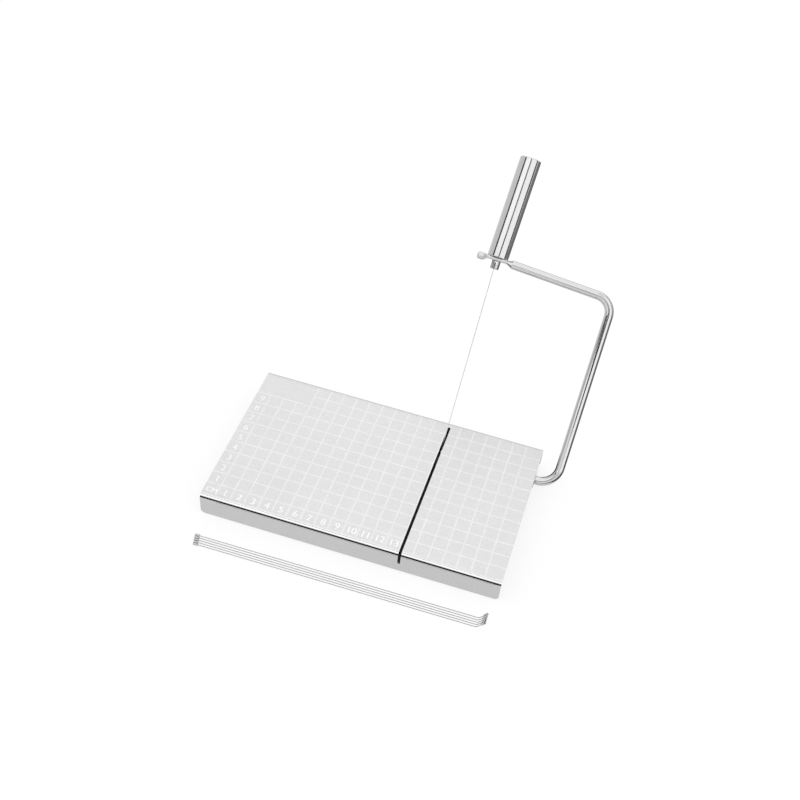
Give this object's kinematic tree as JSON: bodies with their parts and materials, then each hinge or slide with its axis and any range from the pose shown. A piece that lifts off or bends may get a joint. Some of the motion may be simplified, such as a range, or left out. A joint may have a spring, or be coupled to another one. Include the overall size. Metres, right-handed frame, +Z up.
{
  "type": "wire cheese slicer",
  "caption": "Cheese slicer with a folded steel board on rubber feet and a hinged bow that pulls a tensioned cutting wire down into a slot in the board.",
  "frame": {"origin": "centre of the front left foot's underside, on the surface it stands on", "axes": "+X to the right along the board and the hinge, +Y to the rear, +Z up"},
  "size_m": [0.2348, 0.2866, 0.1752],
  "materials": {
    "board_steel": "satin with an etched grid",
    "polished_steel": "polished",
    "spring_steel": "plain",
    "screw_steel": "turned",
    "wire_steel": "drawn wire",
    "ferrule_metal": "crimped",
    "foot_rubber": "matt"
  },
  "bodies": {
    "base": {"base_plate": "board_steel", "slot_bracket": "board_steel", "edge_bracket": "board_steel", "foot_studs": "board_steel", "foot_front_left": "foot_rubber", "foot_front_right": "foot_rubber", "foot_rear_left": "foot_rubber", "foot_rear_right": "foot_rubber", "spare_wire_1": "wire_steel", "spare_wire_2": "wire_steel", "spare_wire_3": "wire_steel", "spare_wire_4": "wire_steel", "spare_wire_5": "wire_steel", "spare_ferrules_1": "ferrule_metal", "spare_ferrules_2": "ferrule_metal", "spare_ferrules_3": "ferrule_metal", "spare_ferrules_4": "ferrule_metal", "spare_ferrules_5": "ferrule_metal"},
    "bow": {"bow_arm": "polished_steel", "retaining_ring": "spring_steel", "stop_pin": "spring_steel", "cutting_wire": "wire_steel", "wire_ferrule_lower": "ferrule_metal"},
    "handle": {"handle_tube": "polished_steel", "handle_core": "screw_steel", "handle_end_cap": "polished_steel"},
    "screw": {"tension_screw": "screw_steel", "wire_ferrule_upper": "ferrule_metal"}
  },
  "joints": [
    {"name": "arm_hinge", "type": "hinge", "parent": "base", "child": "bow", "pos_m": [0.126, 0.08985, 0.01025], "axis": [1, 0, 0], "range_deg": [0, 133.6]},
    {"name": "handle_turn", "type": "hinge", "parent": "bow", "child": "handle", "pos_m": [0.12785, 0.19019, 0.11561], "axis": [0.0593, 0.6884, 0.7229], "range_deg": [0, 720]},
    {"name": "screw_travel", "type": "slide", "parent": "bow", "child": "screw", "axis": [-0.0593, -0.6884, -0.7229], "range_m": [0, 0.002], "deforming": ["cutting_wire"]}
  ],
  "couplings": [
    {"joint": "screw_travel", "follows": "handle_turn", "m_per_rad": 0.00015915}
  ]
}
